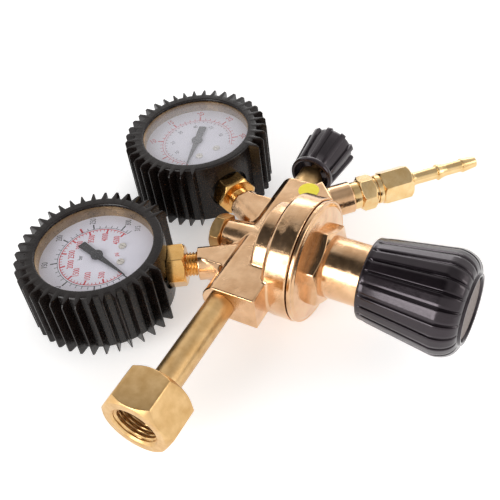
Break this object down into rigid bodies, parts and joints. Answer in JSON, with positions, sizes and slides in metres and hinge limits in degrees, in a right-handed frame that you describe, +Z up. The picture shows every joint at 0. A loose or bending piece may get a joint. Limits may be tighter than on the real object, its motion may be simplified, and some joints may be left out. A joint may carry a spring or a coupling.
{
  "type": "gas pressure regulator",
  "caption": "Brass cylinder regulator for carbon dioxide with rubber-booted dial gauges, pressure knob, outlet valve, inlet union nut and hose barb.",
  "frame": {"origin": "centre of the bounding box on the bench surface that the regulator lies on", "axes": "+Z up, away from the bench; -Y from the body to the cylinder along the inlet; +X towards the adjusting knob, which is raised by 6.9 degrees"},
  "size_m": [0.2112, 0.2144, 0.0652],
  "materials": {
    "cast_brass": "lacquered casting, glossy, with fine pits",
    "machined_brass": "turned, satin",
    "pale_brass": "machined, polished",
    "gauge_brass": "machined",
    "filter_bronze": "sintered, matt",
    "spring_steel": "bright drawn",
    "screw_steel": "bright",
    "case_steel": "black enamel",
    "black_plastic": "moulded, glossy",
    "knob_insert": "matt disc",
    "boot_rubber": "satin moulded rubber",
    "seal_rubber": "matt",
    "window": "clear",
    "dial_white": "white enamel with printed scales",
    "needle_black": "matt black",
    "label_yellow": "plain vinyl label"
  },
  "bodies": {
    "root": {"body_casting": "cast_brass", "inlet_stem": "machined_brass", "inlet_filter": "filter_bronze", "inlet_washer": "seal_rubber", "rear_plug": "machined_brass", "poppet_spring": "spring_steel", "seat_nozzle": "machined_brass", "diaphragm": "seal_rubber", "slip_ring": "machined_brass", "adjusting_spring": "spring_steel", "bonnet": "cast_brass", "packing_nut": "machined_brass", "valve_ring": "seal_rubber", "outlet_adaptor": "pale_brass", "hose_barb": "pale_brass", "sticker": "label_yellow", "high_gauge_socket": "gauge_brass", "high_gauge_case": "case_steel", "high_gauge_boot": "boot_rubber", "high_gauge_bezel": "gauge_brass", "high_gauge_lens": "window", "high_gauge_dial": "dial_white", "high_gauge_dial_screws": "screw_steel", "high_gauge_movement_frame": "gauge_brass", "high_gauge_bourdon_tube": "gauge_brass", "high_gauge_link": "gauge_brass", "low_gauge_socket": "gauge_brass", "low_gauge_case": "case_steel", "low_gauge_boot": "boot_rubber", "low_gauge_bezel": "gauge_brass", "low_gauge_lens": "window", "low_gauge_dial": "dial_white", "low_gauge_dial_screws": "screw_steel", "low_gauge_movement_frame": "gauge_brass", "low_gauge_bourdon_tube": "gauge_brass", "low_gauge_link": "gauge_brass"},
    "inlet_nut": {"inlet_nut": "machined_brass"},
    "valve_head": {"poppet": "machined_brass", "poppet_seal": "seal_rubber", "diaphragm_pusher": "machined_brass", "diaphragm_plate": "machined_brass"},
    "button": {"spring_button": "spring_steel"},
    "knob": {"knob": "black_plastic", "adjusting_screw": "spring_steel", "knob_screw": "spring_steel", "knob_cap": "knob_insert"},
    "plunger": {"valve_plunger": "machined_brass", "valve_pad": "seal_rubber"},
    "spindle": {"valve_spindle": "machined_brass", "small_knob": "black_plastic", "small_knob_screw": "spring_steel"},
    "union_nut": {"union_nut": "pale_brass"},
    "high_pointer": {"high_gauge_pointer": "needle_black", "high_gauge_pointer_arbor": "gauge_brass"},
    "high_sector": {"high_gauge_sector_gear": "gauge_brass"},
    "low_pointer": {"low_gauge_pointer": "needle_black", "low_gauge_pointer_arbor": "gauge_brass"},
    "low_sector": {"low_gauge_sector_gear": "gauge_brass"}
  },
  "joints": [
    {"name": "inlet_nut_spin", "type": "hinge", "parent": "root", "child": "inlet_nut", "pos_m": [-0.00108, -0.0976, 0.02871], "axis": [0, -1, 0], "continuous": true},
    {"name": "valve_lift", "type": "slide", "parent": "root", "child": "valve_head", "axis": [-0.9928, 0, -0.1202], "range_m": [0, 0.0008], "stiffness_N_per_m": 1500, "springref_m": -0.003, "deforming": ["poppet_spring", "diaphragm"]},
    {"name": "button_slide", "type": "slide", "parent": "root", "child": "button", "axis": [-0.9928, 0, -0.1202], "range_m": [0, 0.008], "deforming": ["adjusting_spring"]},
    {"name": "knob_turn", "type": "hinge", "parent": "button", "child": "knob", "pos_m": [0.07834, 0.0074, 0.03832], "axis": [-0.9928, 0, -0.1202], "range_deg": [0, 1920]},
    {"name": "plunger_slide", "type": "slide", "parent": "root", "child": "plunger", "axis": [0, -1, 0], "range_m": [0, 0.002]},
    {"name": "spindle_turn", "type": "hinge", "parent": "plunger", "child": "spindle", "pos_m": [-0.00108, 0.0774, 0.02871], "axis": [0, -1, 0], "range_deg": [0, 720]},
    {"name": "union_nut_spin", "type": "hinge", "parent": "root", "child": "union_nut", "pos_m": [0.04104, 0.07223, 0.0338], "axis": [0.702, 0.7071, 0.085], "continuous": true},
    {"name": "high_pointer_turn", "type": "hinge", "parent": "root", "child": "high_pointer", "pos_m": [-0.06495, -0.03985, 0.02097], "axis": [0.1202, 0, -0.9928], "range_deg": [0, 270], "stiffness_Nm_per_rad": 0.00002, "springref_deg": -20.05},
    {"name": "high_sector_turn", "type": "hinge", "parent": "root", "child": "high_sector", "pos_m": [-0.07296, -0.02589, 0.02], "axis": [0.1202, 0, -0.9928], "range_deg": [-40, 0], "deforming": ["high_gauge_link", "high_gauge_bourdon_tube"]},
    {"name": "low_pointer_turn", "type": "hinge", "parent": "root", "child": "low_pointer", "pos_m": [-0.06495, 0.05465, 0.02097], "axis": [0.1202, 0, -0.9928], "range_deg": [0, 270], "stiffness_Nm_per_rad": 0.00002, "springref_deg": -20.05},
    {"name": "low_sector_turn", "type": "hinge", "parent": "root", "child": "low_sector", "pos_m": [-0.05695, 0.06861, 0.02194], "axis": [0.1202, 0, -0.9928], "range_deg": [-40, 0], "deforming": ["low_gauge_link", "low_gauge_bourdon_tube"]}
  ],
  "couplings": [
    {"joint": "button_slide", "follows": "knob_turn", "m_per_rad": 0.00023873},
    {"joint": "plunger_slide", "follows": "spindle_turn", "m_per_rad": 0.00015915},
    {"joint": "high_sector_turn", "follows": "high_pointer_turn", "ratio": -0.14286},
    {"joint": "low_sector_turn", "follows": "low_pointer_turn", "ratio": -0.14286}
  ]
}
